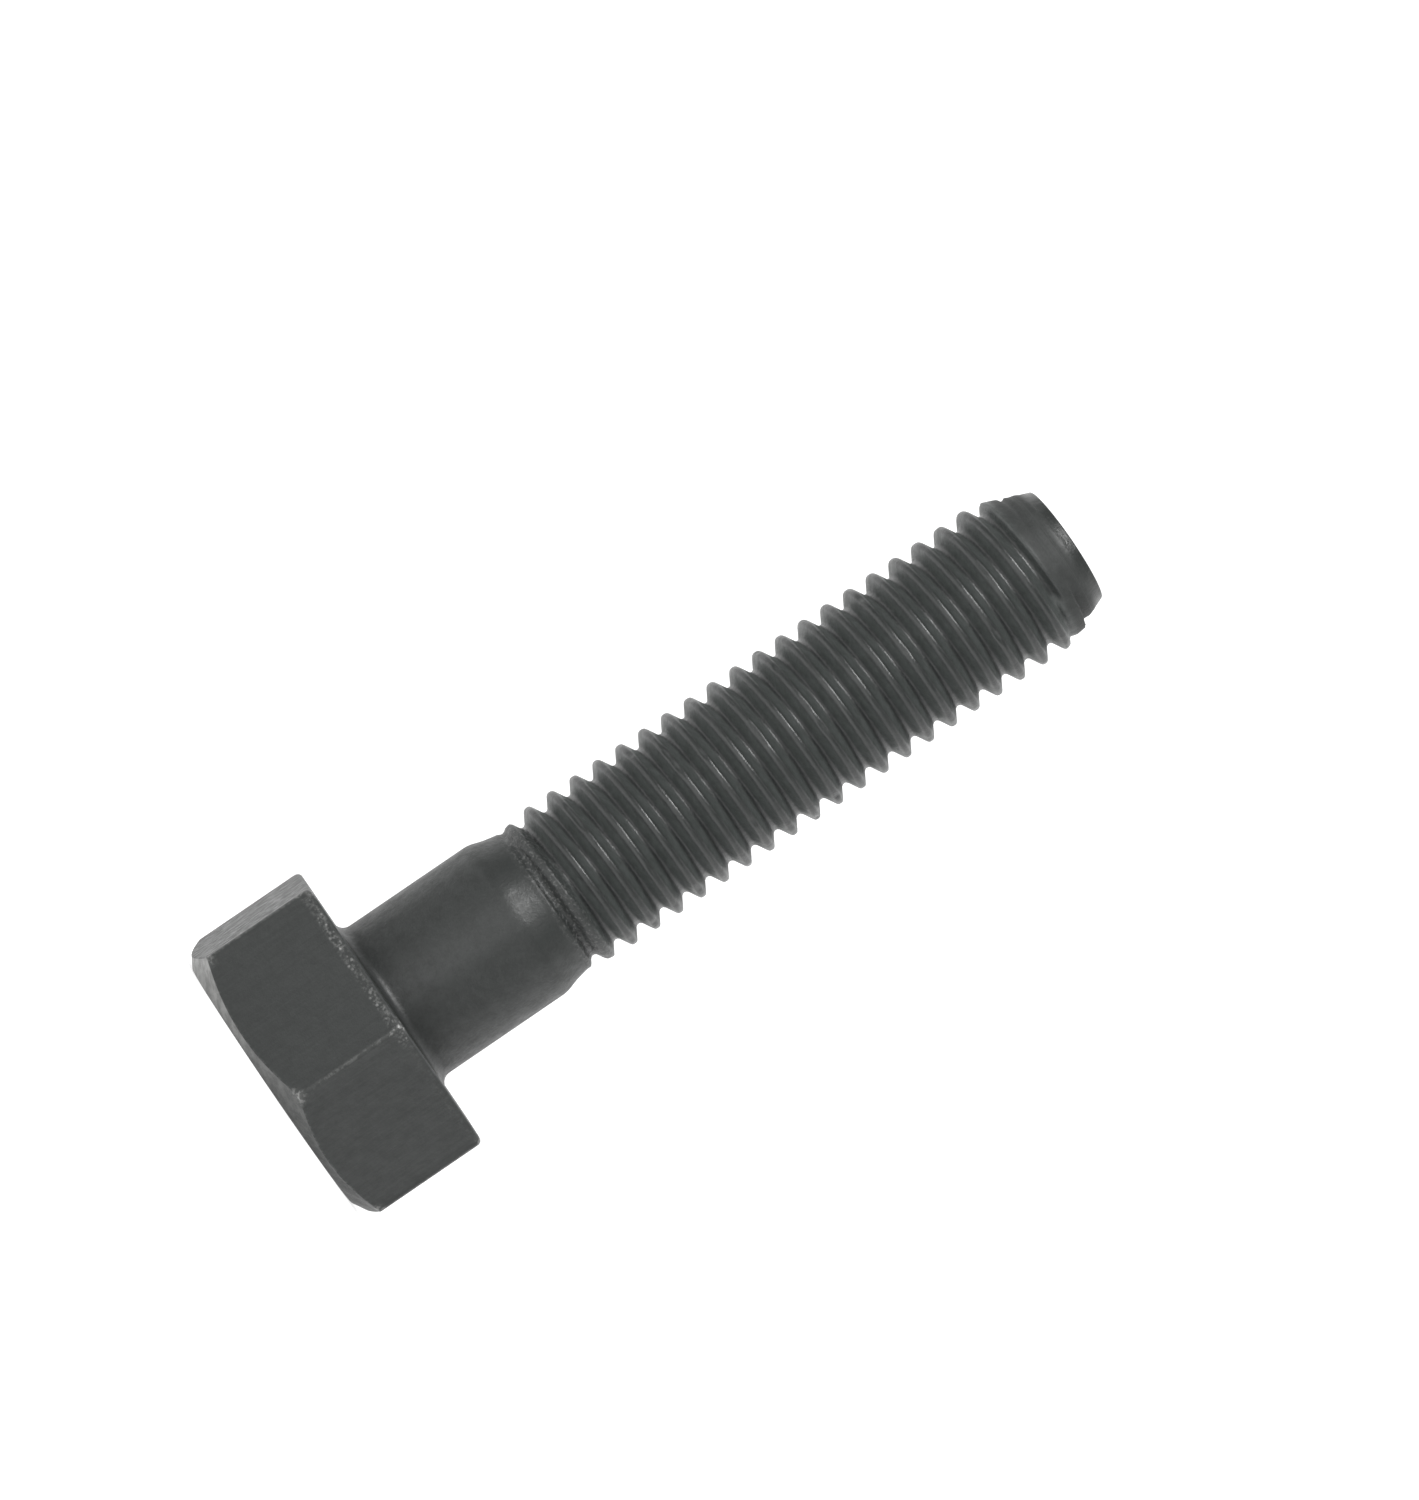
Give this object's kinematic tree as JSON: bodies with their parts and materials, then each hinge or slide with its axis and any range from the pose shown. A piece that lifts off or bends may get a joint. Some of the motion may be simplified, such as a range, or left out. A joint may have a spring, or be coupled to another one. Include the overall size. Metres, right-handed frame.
{
  "type": "hex bolt",
  "caption": "Partly threaded hex-head bolt in dark oxide-finished steel, with a plain shank, a rolled right-hand thread and a short conical point.",
  "frame": {"origin": "centre of the bearing face under the head, on the bolt's axis", "axes": "+Z along the shank towards the point; two corners of the head lie on the Y axis and two of its flats face +X and -X"},
  "size_m": [0.0138, 0.0158, 0.0434],
  "materials": {
    "black_oxide_steel": "semi-matte black oxide on bare steel, worn lighter along the edges"
  },
  "bodies": {
    "root": {"hex_bolt": "black_oxide_steel"}
  },
  "joints": []
}
